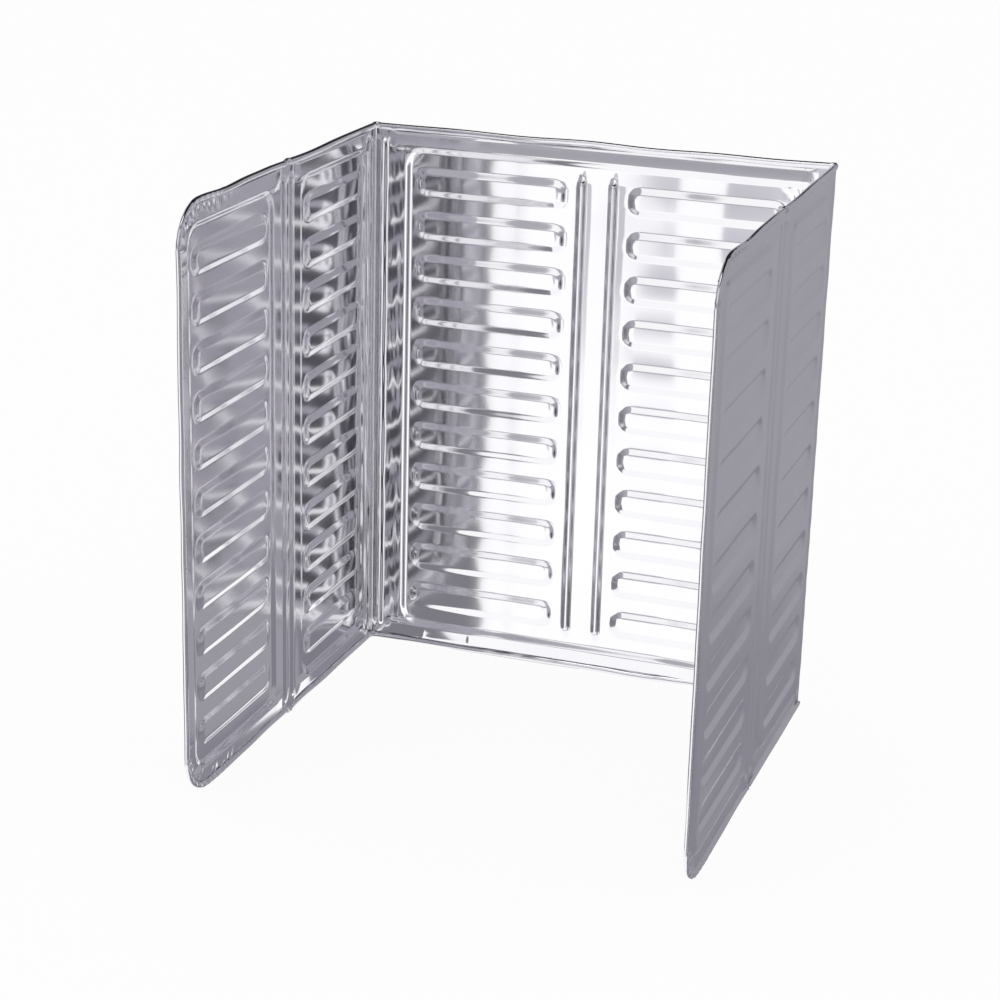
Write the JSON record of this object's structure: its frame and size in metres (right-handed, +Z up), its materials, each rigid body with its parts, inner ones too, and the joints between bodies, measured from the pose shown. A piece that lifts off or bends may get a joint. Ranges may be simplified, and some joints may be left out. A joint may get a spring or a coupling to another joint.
{
  "type": "foil stove splash guard",
  "caption": "Folding splash guard of embossed aluminium foil that stands on edge round a stove ring: a back leaf and two wings, hemmed all round, with a crease at each corner and in each wing.",
  "frame": {"origin": "on the worktop, in the middle of the guard's outline seen from above", "axes": "+Z up; the back leaf is at +Y and faces -Y; the wings run from it towards -Y, one at -X and one at +X"},
  "size_m": [0.2782, 0.2602, 0.325],
  "materials": {
    "embossed_foil": "bright rolled foil, embossed",
    "creased_foil": "bright foil, creased",
    "hem_foil": "bright foil, folded over"
  },
  "bodies": {
    "back_leaf": {"back_panel": "embossed_foil", "back_top_hem": "hem_foil", "back_bottom_hem": "hem_foil", "left_corner_bead_back": "creased_foil", "right_corner_bead_back": "creased_foil"},
    "left_inner_leaf": {"left_inner_panel": "embossed_foil", "left_corner_bead_wing": "creased_foil", "left_middle_bead_inner": "creased_foil", "left_inner_top_hem": "hem_foil", "left_inner_bottom_hem": "hem_foil"},
    "left_outer_leaf": {"left_outer_panel": "embossed_foil", "left_middle_bead_outer": "creased_foil", "left_outer_hem": "hem_foil"},
    "right_inner_leaf": {"right_inner_panel": "embossed_foil", "right_corner_bead_wing": "creased_foil", "right_middle_bead_inner": "creased_foil", "right_inner_top_hem": "hem_foil", "right_inner_bottom_hem": "hem_foil"},
    "right_outer_leaf": {"right_outer_panel": "embossed_foil", "right_middle_bead_outer": "creased_foil", "right_outer_hem": "hem_foil"}
  },
  "joints": [
    {"name": "left_corner_fold", "type": "hinge", "parent": "back_leaf", "child": "left_inner_leaf", "pos_m": [-0.137, 0.12795, 0.1625], "axis": [0, 0, -1], "range_deg": [-20, 90]},
    {"name": "left_middle_fold", "type": "hinge", "parent": "left_inner_leaf", "child": "left_outer_leaf", "pos_m": [-0.137, 0.00295, 0.1625], "axis": [0, 0, -1], "range_deg": [-20, 120]},
    {"name": "right_corner_fold", "type": "hinge", "parent": "back_leaf", "child": "right_inner_leaf", "pos_m": [0.137, 0.12795, 0.1625], "axis": [0, 0, 1], "range_deg": [-20, 90]},
    {"name": "right_middle_fold", "type": "hinge", "parent": "right_inner_leaf", "child": "right_outer_leaf", "pos_m": [0.137, 0.00295, 0.1625], "axis": [0, 0, 1], "range_deg": [-20, 120]}
  ]
}
